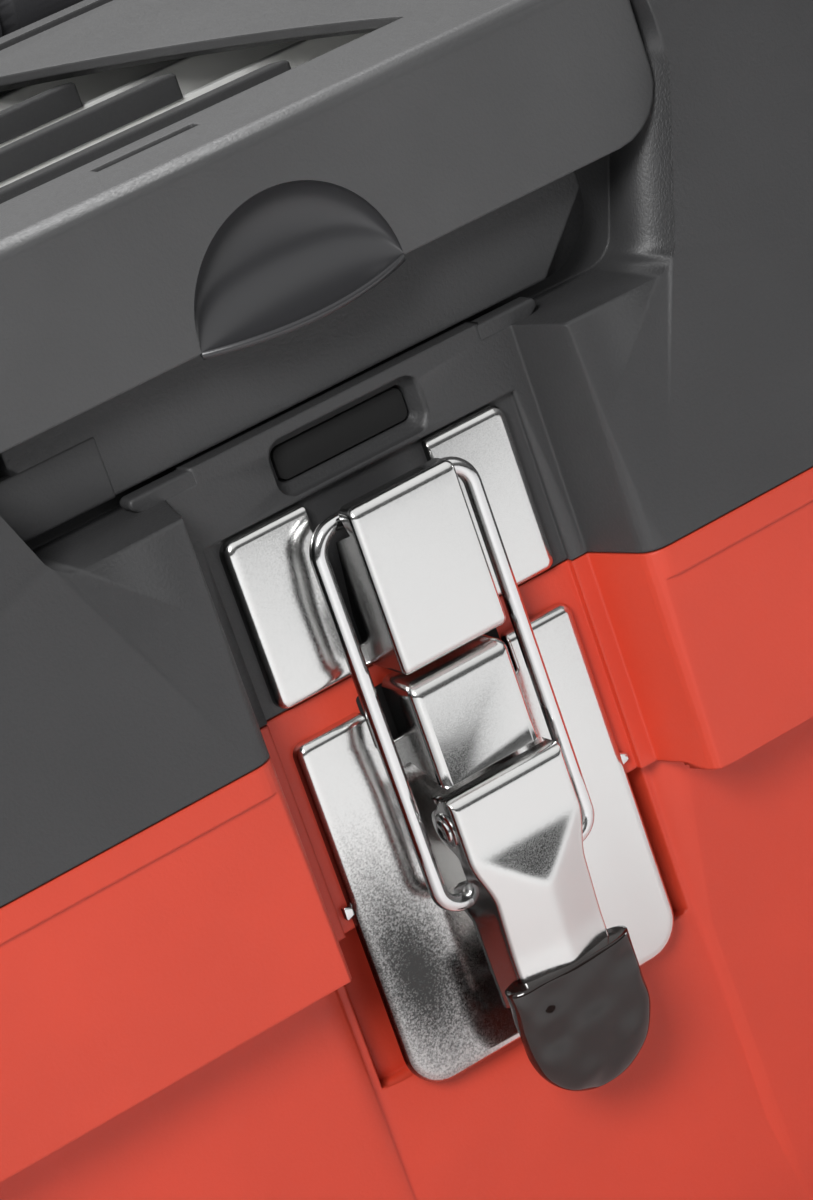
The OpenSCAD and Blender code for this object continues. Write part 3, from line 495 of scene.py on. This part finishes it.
def pressed(name, corners, bends, front, material, body, node=None, steps=7):
    """A panel whose edges bend back: depth front + r (1 - sin a), inset r (1 - cos a)."""
    bends = np.array(bends, float)
    outline, shares = rim(corners, 0 * bends)
    bend = np.array([bends[a] * (1 - f) + bends[b] * f for a, b, f, i in shares])
    rear = np.array([corners[i][3] for a, b, f, i in shares])
    inner = np.maximum(bends - SHEET, 0.15)
    inner_bend = np.maximum(bend - SHEET, 0.15)
    quarter = np.linspace(0, np.pi / 2, steps + 1)
    rings = [(outline, rear)]
    for a in quarter:
        rings.append((rim(corners, bends * (1 - np.cos(a)))[0], front + bend * (1 - np.sin(a))))
    for a in quarter[::-1]:
        rings.append((rim(corners, SHEET + inner * (1 - np.cos(a)))[0],
                      front + SHEET + inner_bend * (1 - np.sin(a))))
    rings.append((rim(corners, SHEET + 0 * bends)[0], rear))
    n = len(outline)
    points = np.concatenate([in_frame(p[:, 0], v, p[:, 1]) for p, v in rings])
    face_ring = steps + 1
    faces = []
    for r in range(len(rings)):
        if r == face_ring:
            continue
        low, high = r * n, (r + 1) % len(rings) * n
        faces += [(low + j, low + (j + 1) % n, high + (j + 1) % n, high + j) for j in range(n)]
    faces.append(list(range(face_ring * n, face_ring * n + n)))
    faces.append(list(range((face_ring + 1) * n, (face_ring + 2) * n))[::-1])
    return make_piece(name, points, faces, material, body, node)


# %% The two plates
HALF = 26.3
pressed("keeper_pan",
    [(-HALF, 0.6, 2.0, 0), (HALF, 0.6, 2.0, 0), (HALF, 28.8, 2.4, 0), (11.2, 28.8, 0.8, -0.6),
     (11.2, 4.6, 1.2, -1), (-11.2, 4.6, 1.2, -1), (-11.2, 28.8, 0.8, -0.6), (-HALF, 28.8, 2.4, 0)],
    [1.2, 1.7, 1.5, 0.5, 0.4, 0.5, 1.5, 1.7], -2.2, latch_steel, "lid", "keeper_plate")
pressed("lower_pan",
    [(-HALF, -67.5, 6.6, 0), (HALF, -67.5, 6.6, 0), (HALF, -5.5, 2, 0), (13.4, -5.5, 1, 0),
     (13.4, -11.8, 0.8, -1), (-13.4, -11.8, 0.8, -1), (-13.4, -5.5, 1, 0), (-HALF, -5.5, 2, 0)],
    [1.9, 1.7, 1.5, 0.5, 0.4, 0.5, 1.5, 1.7], -2.2, plate_steel_painted_shade, "base", "latch_plate")

# %% [markdown]
# ## The hook and the guard
#
# The hook is a box pressed forward out of the keeper plate. Its cheeks run back
# to the plate at the foot, stop short of it further up, and leave a shelf for
# the wire's bar under the rolled lip. The guard is a second box, which stands
# behind the head of the lever.

# %% Hook and guard
HOOK = 9.7
pressed("hook_box",
    [(-HOOK, 0.3, 1.2, -1.6), (HOOK, 0.3, 1.2, -1.6), (HOOK, 9, 1, -1.6), (HOOK, 22, 1, -4.8),
     (HOOK, 23.8, 1, -10.4), (HOOK, 28.2, 1.5, -9), (-HOOK, 28.2, 1.5, -9), (-HOOK, 23.8, 1, -10.4),
     (-HOOK, 22, 1, -4.8), (-HOOK, 9, 1, -1.6)],
    [1.5, 1.2, 1.2, 1.2, 1.2, 1.8, 1.2, 1.2, 1.2, 1.2], -12.8, latch_steel, "lid")
GUARD = 9.2
pressed("guard_box",
    [(-GUARD, -19.5, 0.6, -10), (GUARD, -19.5, 0.6, -10), (GUARD, -16, 0.6, -1.6),
     (GUARD, -2, 1.8, -1.6), (-GUARD, -2, 1.8, -1.6), (-GUARD, -16, 0.6, -1.6)],
    [0.1, 1.6, 1.6, 2.6, 1.6, 1.6], -11, latch_steel, "base")

# %% [markdown]
# ## The lever
#
# The lever's face is flat at its head. Below it the face is a roof whose ridge
# starts under a pressed triangle: with the head H, the triangle T and the roof
# R as depths over (x, w), the face is max(R, min(H, T)), where both choices are
# softened to sqrt((a - b)^2 + e^2), so that the creases have a radius. The
# cheeks reach back round the rivet and round the wire's end.

# %% Lever
def soft_max(a, b, e=0.5):
    """The larger of two fields with a rounded crease."""
    return (a + b + np.sqrt((a - b) ** 2 + e * e)) / 2


def soft_min(a, b, e=0.5):
    """The smaller of two fields with a rounded crease."""
    return (a + b - np.sqrt((a - b) ** 2 + e * e)) / 2


HEAD_FRONT = -14.0


def face_depth(x, w):
    """Depth of the lever's face at (x, w)."""
    triangle = HEAD_FRONT + 0.222 * (w + 31)
    held = soft_max(w, -49.5, 1.0)
    roof = -20.195 + 0.2944 * np.sqrt(x * x + 0.6) - 0.1049 * held
    return soft_max(roof, soft_min(triangle, HEAD_FRONT, 0.25), 0.25)


RIVET_V, RIVET_W = -9.6, -26
WIRE_V, EYE = -7.0, -38.9


def round_lobe(w, middle_v, middle_w, radius):
    """The rear edge of a round lobe at height w, and far forward beside it."""
    off = abs(w - middle_w)
    return np.where(off < radius, middle_v + np.sqrt(np.maximum(radius ** 2 - off ** 2, 0)), -99)


def cheek_rear(w):
    """How far back the cheek reaches at height w."""
    below = np.where(w < EYE, -7.2 + 0.03 * (w - EYE), -10.4)
    neck = np.where(w > -24, -10.4, below)
    lobes = np.maximum(round_lobe(w, RIVET_V, RIVET_W, 3.9), round_lobe(w, WIRE_V, EYE, 2.7))
    return np.maximum(lobes, neck)


LEVER = 10.6
FOLD = 1.1
LEVER_FOOT, LEVER_HEAD, HEAD_ROLL = -58, -22.6, 1.9
roll_a = np.linspace(0.15, np.pi / 2, 7)
rows = np.concatenate([np.linspace(LEVER_FOOT, LEVER_HEAD, 120), LEVER_HEAD + HEAD_ROLL * np.sin(roll_a)])
roll = np.concatenate([np.zeros(120), HEAD_ROLL * (1 - np.cos(roll_a))])
smooth_rear = np.convolve(np.pad(cheek_rear(rows), 3, mode="edge"), np.ones(7) / 7, mode="valid")
waist = np.clip((-31 - rows) / 9, 0, 1)
front_half = LEVER - 2.0 * waist * waist * (3 - 2 * waist)
fold_a = np.linspace(np.pi / 2, 0, 7)[:-1]
grid = []
for w, back_by, rear, front in zip(rows, roll, smooth_rear, front_half):
    across_x = np.linspace(-front + FOLD, front - FOLD, 91)
    face = face_depth(across_x, w)
    left = face_depth(-front + FOLD, w)
    fold_x = -front + FOLD - FOLD * np.sin(fold_a)
    fold_v = left + FOLD * (1 - np.cos(fold_a))
    cheek_v = np.linspace(max(rear, left + FOLD + 0.3), left + FOLD, 9)[:-1]
    half_x = np.concatenate([np.linspace(-LEVER, -front, 9)[:-1], fold_x])
    half_v = np.concatenate([cheek_v, fold_v])
    row_x = np.concatenate([half_x, across_x, -half_x[::-1]])
    row_v = np.concatenate([half_v, face, half_v[::-1]])
    if back_by:
        row_v = np.maximum(row_v, HEAD_FRONT + back_by)
    grid.append(in_frame(row_x, row_v, w))
grid.append(grid[-1] + [0, 0.0022, 0])
lever = make_piece("lever_pressing", np.concatenate(grid), grid_faces(len(grid), len(grid[0])),
    latch_steel, "latch_lever", "latch_lever")
wall = lever.modifiers.new("sheet", "SOLIDIFY")
wall.thickness = SHEET / 1000
wall.offset = -1

# %% [markdown]
# ## The dipped tip, the wire and the rivet
#
# The tip is a stack of flattened ovals that close in a quarter ellipse, with a
# slow wobble where the vinyl ran. The wire is a circle swept along its centre
# line, and the rivet's heads are turned about X.

# %% Dipped tip
def oval(hx, hv, v0, count=72, power=0.75):
    """A rounded rectangle across the lever, hx and hv from its middle at v0."""
    t = np.linspace(0, 2 * np.pi, count, endpoint=False)
    c, s = np.cos(t), np.sin(t)
    x = hx * np.sign(c) * abs(c) ** power
    v = v0 + hv * np.sign(s) * abs(s) ** power
    return x, v


def closed_stack(loops):
    """Faces of loops joined in a tube with both ends filled."""
    n = len(loops[0])
    out = [(r * n + j, r * n + (j + 1) % n, (r + 1) * n + (j + 1) % n, (r + 1) * n + j)
           for r in range(len(loops) - 1) for j in range(n)]
    return out + [list(range(n))[::-1], list(range((len(loops) - 1) * n, len(loops) * n))]


DIP_TOP, DIP_ROUND, DIP_HALF, DIP_V = -53.8, -64, 11.5, -12.2
dip_rows = np.concatenate([[DIP_TOP, -54.0], np.linspace(-54.6, DIP_ROUND, 14),
                           DIP_ROUND - 12 * np.sin(np.linspace(0.08, 1.52, 26))])
loops = []
for w in dip_rows:
    close = math.sqrt(max(1 - (max(DIP_ROUND - w, 0) / 12.05) ** 2.2, 0.0004))
    deep = math.sqrt(max(1 - (max(-62 - w, 0) / 14.1) ** 2.6, 0.0009))
    lip = 0.93 if w == DIP_TOP else 1.0
    x, v = oval(DIP_HALF * close * lip, 3.3 * deep * lip, DIP_V)
    ripple = 0.14 * np.sin(0.55 * x + 0.7 * w) + 0.12 * np.sin(0.9 * w - 0.35 * x)
    peak = -0.45 * np.maximum(0, 1 - abs(x) / DIP_HALF) * (v < DIP_V) * deep
    loops.append(in_frame(x, v + peak + ripple * deep, w + 0 * x))
make_piece("dipped_tip", np.concatenate(loops), closed_stack(loops), dipped_vinyl, "latch_lever",
    "lever_grip", 80)


# %% Wire and rivet
def swept(path, radius, count=20):
    """Loops of a circle along a path of world points."""
    tangent = np.gradient(path, axis=0)
    tangent /= np.linalg.norm(tangent, axis=1)[:, None]
    side = np.array([0, 1, 0]) + 0 * tangent
    other = np.cross(tangent, side)
    t = np.linspace(0, 2 * np.pi, count, endpoint=False)
    return [p + radius * (np.outer(np.cos(t), s) + np.outer(np.sin(t), o))
            for p, s, o in zip(path, side, other)]


def quarter_turn(cx, cw, radius, start, end, count=12):
    """Points of an arc in the plane of the loop, angles in degrees."""
    t = np.radians(np.linspace(start, end, count))
    return list(zip(cx + radius * np.cos(t), cw + radius * np.sin(t)))


LEG, BAR = 14.2, 25.6
half_path = [(9.3, EYE), (10.4, EYE)] + quarter_turn(LEG - 3.6, EYE + 3.6, 3.6, -90, 0)
half_path += [(LEG, w) for w in np.linspace(EYE + 5, BAR - 6, 12)]
half_path += quarter_turn(LEG - 4.4, BAR - 4.4, 4.4, 0, 90) + [(5, BAR), (0, BAR)]
half_path = np.array(half_path)
path = np.concatenate([half_path, (half_path * [-1, 1])[-2::-1]])
wire_path = in_frame(path[:, 0], WIRE_V, path[:, 1])
tube = swept(wire_path, 0.0014)
make_piece("wire_loop", np.concatenate(tube), closed_stack(tube), wire_steel, "latch_loop",
    "latch_wire_loop")

head = [(10.3, 0.3), (10.3, 2.9), (10.75, 2.95), (10.95, 2.75), (11.0, 2.25), (10.85, 2.05),
        (11.25, 1.95), (11.5, 1.6), (11.55, 1.15), (11.4, 0.7), (11.35, 0.05)]
turn_a = np.linspace(0, 2 * np.pi, 40, endpoint=False)
for side in (-1, 1):
    loops = [in_frame(side * x, RIVET_V + r * np.cos(turn_a), RIVET_W + r * np.sin(turn_a))
             for x, r in head]
    make_piece("rivet_head_" + hand(side), np.concatenate(loops), closed_stack(loops),
        wire_steel, "base", "latch_pivot_rivet", 40)

# %% [markdown]
# ## Smoother mouldings
#
# The shells and the cover come from the solids. Their loose triangles are
# welded in a copy, so that the light runs smoothly round the corners.

# %% Welded copies
def welded(node, body, material, sharp=32):
    """A welded, smoothly shaded copy of a CAD node's mesh."""
    source = nodes[node]
    solid = bmesh.new()
    solid.from_mesh(source.data)
    bmesh.ops.transform(solid, matrix=source.matrix_world, verts=solid.verts)
    bmesh.ops.remove_doubles(solid, verts=solid.verts, dist=1e-6)
    mesh = bpy.data.meshes.new(node + "_skin")
    solid.to_mesh(mesh)
    solid.free()
    mesh.shade_smooth()
    mesh.set_sharp_from_angle(angle=math.radians(sharp))
    mesh.materials.clear()
    mesh.materials.append(material)
    piece = bpy.data.objects.new(node + "_skin", mesh)
    scene.collection.objects.link(piece)
    piece.modifiers.new("flat faces stay flat", "WEIGHTED_NORMAL").keep_sharp = True
    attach(piece, body)
    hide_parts(node)
    return piece


welded("base_shell", "base", red_plastic, 18)
welded("lid_shell", "lid", grey_plastic, 18)
cover_skin = welded("organiser_cover", "organiser_cover", cover_plastic, 22)
welded("carry_handle", "carry_handle", handle_plastic)

# %% [markdown]
# ## Rails of the organiser
#
# Thick dark rails with rounded ends lie on the white partitions. They get
# shorter towards the top of the arched window.

# %% Rails
rail_low, rail_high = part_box("organiser_dividers")
for place_v, half in ((38.5, 29.9), (64.5, 22.4), (90.5, 16.3)):
    outline = []
    for cx, cv, start in ((half - 2.6, place_v + 1.1, 0), (-half + 2.6, place_v + 1.1, 90),
                          (-half + 1.0, place_v - 1.1, 180), (half - 1.0, place_v - 1.1, 270)):
        r = 0.7 if start >= 180 else 0.9
        for a in np.radians(np.linspace(start, start + 90, 6)):
            outline.append((cx + r * math.cos(a), cv + r * math.sin(a)))
    outline = np.array(outline)
    levels = ((0.0, rail_low[2]), (0.0, rail_high[2] - 0.0005),
              (0.3, rail_high[2] - 0.0001), (0.7, rail_high[2]))
    loops = []
    centre = outline.mean(axis=0)
    for inset, z in levels:
        ring = centre + (outline - centre) * (1 - inset / np.array([half, 1.8]))
        loops.append(in_frame(ring[:, 0], ring[:, 1], (z - part_z) * 1000))
    make_piece("rail_%d" % place_v, np.concatenate(loops), closed_stack(loops), divider_plastic,
        "lid", "organiser_dividers", 40)

# %% [markdown]
# ## The thumb scoop
#
# The cover's scoop is a half circle cut up into the skirt from its lower edge,
# a little left of the middle, and its lip bulges forward and down. The front
# sheet of the welded copy is made anew with that arch notched into it. With
# q = 1 - (x / R)^2 the lip stands B q forward of the skirt, and between the lip
# and the arch the bowl is D sqrt(1 - r^2) sqrt(1 - (1 - t)^2) deep, with r the
# distance from the arch's centre over its radius and t the rise above the lip.

# %% Thumb scoop
SKIRT, SKIRT_FOOT = -8.0, 58.5
SCOOP_X, SCOOP_R, LIP_OUT, LIP_DOWN, SCOOP_DEEP = -3.0, 18.2, 5.0, 0.5, 7.0
CLOSE = 0.05
skin = bmesh.new()
skin.from_mesh(cover_skin.data)


def in_solid_bowl(x, v, w, normal):
    """Whether a face of the welded copy belongs to the solid's own shallow bowl."""
    inside = abs(x) < 19.2 and SKIRT < v < SKIRT + 4.4 and 62.4 < w < 81
    return inside and (normal.y < -0.2 or normal.z > 0.7)


front, old = [], []
for face in skin.faces:
    x, y, z = face.calc_center_median() * 1000
    v, w = y - seat_y * 1000, z - part_z * 1000
    if abs(v - SKIRT) < CLOSE and face.normal.y < -0.9:
        front.append(face)
    elif v < SKIRT - CLOSE or in_solid_bowl(x, v, w, face.normal):
        old.append(face)

# The rim of the front sheet in order, from its lower left corner
uses = {}
for face in front:
    for edge in face.edges:
        uses.setdefault(edge, []).append(face)
following = {}
for edge in [edge for edge, faces in uses.items() if len(faces) == 1]:
    for loop in uses[edge][0].loops:
        if loop.edge == edge:
            following[loop.vert] = loop.link_loop_next.vert
corner = min(following, key=lambda vert: (round(vert.co.z, 5), vert.co.x))
outline = [corner]
while following[outline[-1]] is not corner:
    outline.append(following[outline[-1]])
turn_a = np.linspace(np.pi, 0, 61)
arch = [skin.verts.new(point) for point in in_frame(
    SCOOP_X + SCOOP_R * np.cos(turn_a), SKIRT, SKIRT_FOOT + SCOOP_R * np.sin(turn_a))]
if outline[1].co.x < outline[0].co.x:
    outline = outline[1:] + outline[:1] + arch[::-1]
else:
    outline = outline[:1] + arch + outline[1:]
sheet = skin.faces.new(outline)
sheet.smooth = True
sheet.normal_update()
if sheet.normal.y > 0:
    sheet.normal_flip()
bmesh.ops.delete(skin, geom=front + old, context="FACES_ONLY")
print("cover sheet: faces", len(front) + len(old), "area", sheet.calc_area())
skin.to_mesh(cover_skin.data)
skin.free()

bowl_a, bowl_t = np.meshgrid(np.linspace(-1, 1, 91), np.linspace(0, 1, 61))
bowl_a = np.sin(bowl_a * np.pi / 2) * 0.9995
bowl_t = 0.5 - 0.5 * np.cos(np.pi * bowl_t)
bulge = 1 - bowl_a ** 2
top_w = SKIRT_FOOT + SCOOP_R * np.sqrt(bulge)
foot_w = SKIRT_FOOT + 0.3 - (LIP_DOWN + 0.3) * bulge
bowl_w = foot_w + (top_w - foot_w) * bowl_t
radial = np.hypot(bowl_a, (bowl_w - SKIRT_FOOT) / SCOOP_R)
rise = np.clip((bowl_w - foot_w) / 9, 0, 1)
bowl_v = (SKIRT - LIP_OUT * bulge * (1 - bowl_t) ** 2
          + SCOOP_DEEP * np.sqrt(np.clip(1 - radial ** 2, 0, 1)) * np.sqrt(1 - (1 - rise) ** 2))
scoop_plastic = new_material("scoop_plastic", (0.034, 0.034, 0.036), 0.3)[0]
bowl_x = SCOOP_X + SCOOP_R * bowl_a
bowl = make_piece("thumb_scoop", in_frame(bowl_x.ravel(), bowl_v.ravel(), bowl_w.ravel()),
    grid_faces(*bowl_a.shape), scoop_plastic, "organiser_cover", None, 80)
thick = bowl.modifiers.new("wall", "SOLIDIFY")
thick.thickness = 0.0012
thick.offset = 1

# %% [markdown]
# ## Under the cover
#
# The step below the cover runs on to the left wall of the recess. Below it the
# block behind the keeper plate flares out to both sides.

# %% Step and flares
pressed("step_left",
    [(-61.2, 42.0, 0.8, 3.0), (-38, 42.0, 0.4, 3.0), (-38, 52, 0.4, 3.0), (-61.2, 52, 0.8, 3.0)],
    [0.6, 0.2, 0.2, 0.4], 0.85, grey_plastic, "lid", None, 4)
for side in (-1, 1):
    flare = [(25.6, 29.4, 0.6, 2.0), (28.6, 29.4, 1.5, 2.0), (31.0, 35.0, 6.0, 2.0),
             (39.5, 41.4, 1.0, 2.0), (25.6, 41.4, 0.5, 2.0)]
    if side < 0:
        flare = [(-x, w, r, rear) for x, w, r, rear in flare[::-1]]
    pressed("flare_" + hand(side), flare, [0.5] * 5, -1.35, grey_plastic, "lid", None, 4)

# %% [markdown]
# ## Painted shade in the gaps
#
# The guard's root passes through a slot in the front of the base, and the stepped pocket above the hook
# is deep. Flat black sheets fill the slot and the pocket's foot as painted shade.

# %% Painted shade in the gaps
# Painted shade: flat black sheets stand for the dark inside the slot and at the pocket's foot.
painted_shade_black = new_material("painted_shade_black", (0.004, 0.004, 0.004), 0.9)[0]
pressed("guard_slot_painted_shade",
    [(-13.3, -12.4, 0.6, 1.2), (13.3, -12.4, 0.6, 1.2), (13.3, -3.4, 0.8, 1.2), (-13.3, -3.4, 0.8, 1.2)],
    [0.2, 0.2, 0.2, 0.2], -0.25, painted_shade_black, "base", None, 3)
pressed("pocket_painted_shade",
    [(-11.9, 32.2, 1.4, 4.9), (11.9, 32.2, 1.4, 4.9), (11.9, 37.6, 1.4, 4.9), (-11.9, 37.6, 1.4, 4.9)],
    [0.2, 0.2, 0.2, 0.2], 1.5, painted_shade_black, "lid", None, 3)

# %% [markdown]
# ## Ends of the tabs
#
# A bent tab of the lower plate shows as a bright corner at each side.

# %% Tabs
for side in (-1, 1):
    inner, outer = sorted((side * 25.8, side * 27.6))
    pressed("tab_" + hand(side),
        [(inner, -35.2, 0.4, -0.2), (outer, -34.6, 0.5, -0.2),
         (outer, -33.4, 0.5, -0.2), (inner, -32.6, 0.4, -0.2)],
        [0.3, 0.3, 0.3, 0.3], -1.1, wire_steel, "base", None, 3)
